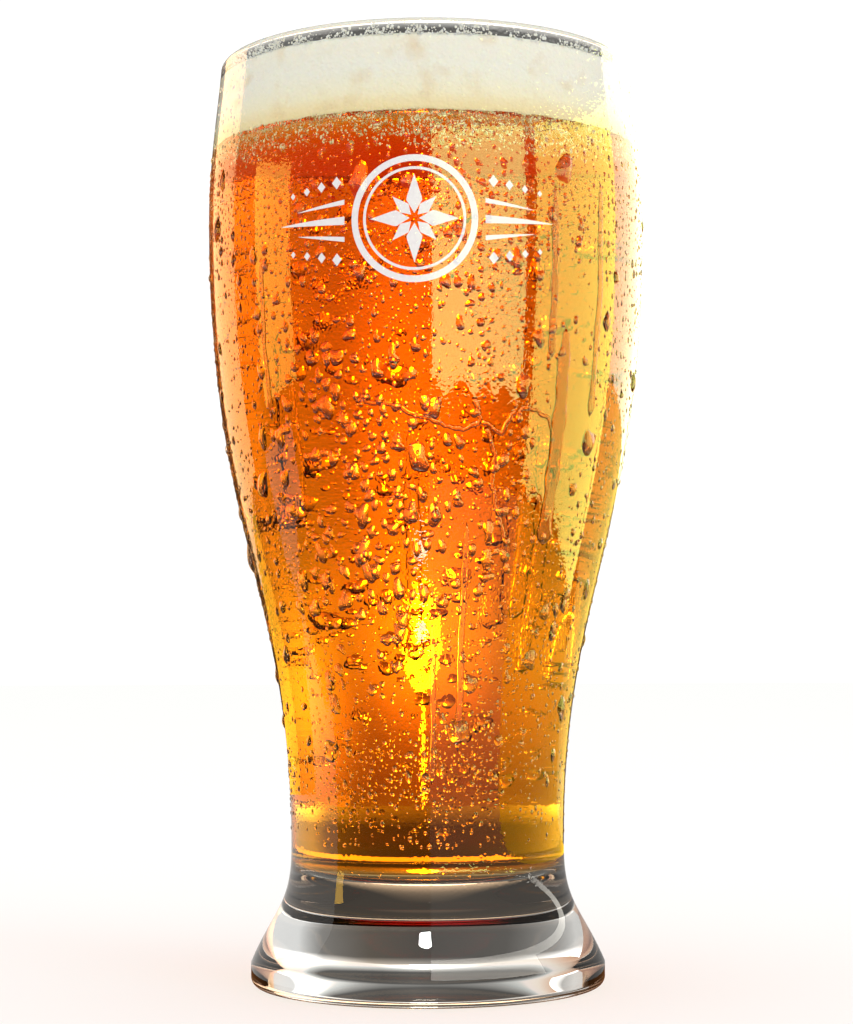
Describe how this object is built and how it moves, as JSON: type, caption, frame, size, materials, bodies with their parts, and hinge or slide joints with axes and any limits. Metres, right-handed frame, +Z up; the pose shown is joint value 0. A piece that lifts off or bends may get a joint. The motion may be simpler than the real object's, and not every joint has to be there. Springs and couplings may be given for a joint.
{
  "type": "pint of beer",
  "caption": "Waisted pub glass with a heavy clear foot, filled with amber beer under a creamy foam head, its outside beaded with condensation.",
  "frame": {"origin": "on the table under the axis of the glass", "axes": "+Z up along the axis of the glass, -Y towards the side with the print, +X to the viewer's right"},
  "size_m": [0.0859, 0.0857, 0.18],
  "materials": {
    "clear_glass": "clear pressed soda-lime glass, fire polished, wet with condensation",
    "amber_beer": "clear amber ale, deeper orange through its thickness, golden where it is thin",
    "beer_foam": "creamy fine-bubbled foam, yellower where it meets the beer",
    "condensation_water": "clear water drops and runs on the cold wall",
    "white_print": "fired white enamel print, satin"
  },
  "bodies": {
    "root": {"pint_glass": "clear_glass", "beer": "amber_beer", "foam_head": "beer_foam"}
  },
  "joints": []
}
